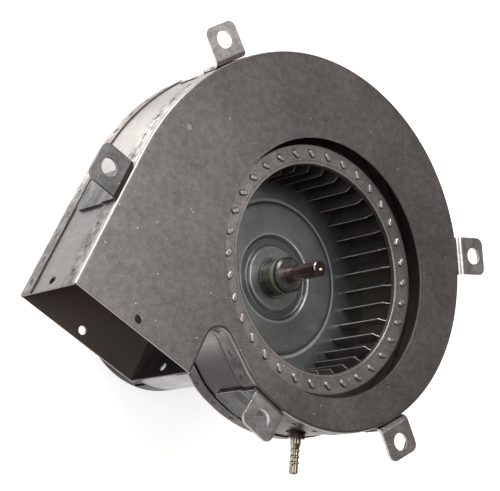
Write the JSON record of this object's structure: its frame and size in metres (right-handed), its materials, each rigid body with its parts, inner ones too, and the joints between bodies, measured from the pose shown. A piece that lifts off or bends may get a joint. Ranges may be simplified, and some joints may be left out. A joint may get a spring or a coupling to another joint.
{
  "type": "combustion fan",
  "caption": "Scroll-housed combustion fan: a squirrel-cage wheel drives air from a round inlet to a rectangular outlet, turned by a motor behind.",
  "frame": {"origin": "centre of the inlet opening, on the outer face of the front plate", "axes": "+Z along the shaft, out of the inlet; +X and +Y in the plane of the front plate, the outlet blowing towards 242 degrees from +X"},
  "size_m": [0.2621, 0.2135, 0.1508],
  "materials": {
    "housing_steel": "aluminised sheet steel, fine scratches",
    "tab_steel": "zinc-plated sheet steel",
    "wheel_steel": "galvanised sheet steel",
    "hub_steel": "turned steel, yellow zinc chromate",
    "shaft_steel": "ground steel, brown tint",
    "fastener_steel": "zinc-plated",
    "barb_brass": "turned, slightly tarnished",
    "motor_paint": "black baked enamel",
    "lamination": "varnished electrical steel",
    "coil_winding": "varnished enamelled copper wire",
    "copper": "bare copper",
    "bronze": "oil-filled sintered bronze",
    "cast_aluminium": "die-cast",
    "rubber": "matt black",
    "felt": "pressed wool felt"
  },
  "bodies": {
    "housing": {"front_plate": "housing_steel", "rear_plate": "housing_steel", "scroll_band": "housing_steel", "tab_left": "tab_steel", "tab_top": "tab_steel", "tab_right": "tab_steel", "tab_lower_right": "tab_steel", "tab_lower_left": "tab_steel", "hose_barb": "barb_brass", "barb_washer": "fastener_steel", "barb_nut": "barb_brass", "clinch_nuts": "fastener_steel", "isolator_bushes": "rubber", "bolt_nuts": "fastener_steel", "through_bolts": "fastener_steel", "seal_felt": "felt", "seal_cup": "fastener_steel", "motor_front_bell": "motor_paint", "motor_shell": "motor_paint", "motor_rear_bell": "motor_paint", "lead_grommet": "rubber", "stator_core": "lamination", "stator_coils": "coil_winding", "shading_rings": "copper", "front_bearing": "bronze", "rear_bearing": "bronze", "front_bearing_retainer": "fastener_steel", "rear_bearing_retainer": "fastener_steel", "front_felt_wick": "felt", "rear_felt_wick": "felt"},
    "rotor": {"motor_shaft": "shaft_steel", "wheel_hub": "hub_steel", "hub_setscrew": "fastener_steel", "wheel_backplate": "wheel_steel", "wheel_blades": "wheel_steel", "wheel_front_ring": "wheel_steel", "rotor_core": "lamination", "rotor_end_rings": "cast_aluminium", "slinger_fan": "cast_aluminium", "thrust_washers": "fastener_steel", "shaft_clips": "fastener_steel"}
  },
  "joints": [
    {"name": "rotor_spin", "type": "hinge", "parent": "housing", "child": "rotor", "pos_m": [0, 0, 0], "axis": [0, 0, 1], "continuous": true}
  ]
}
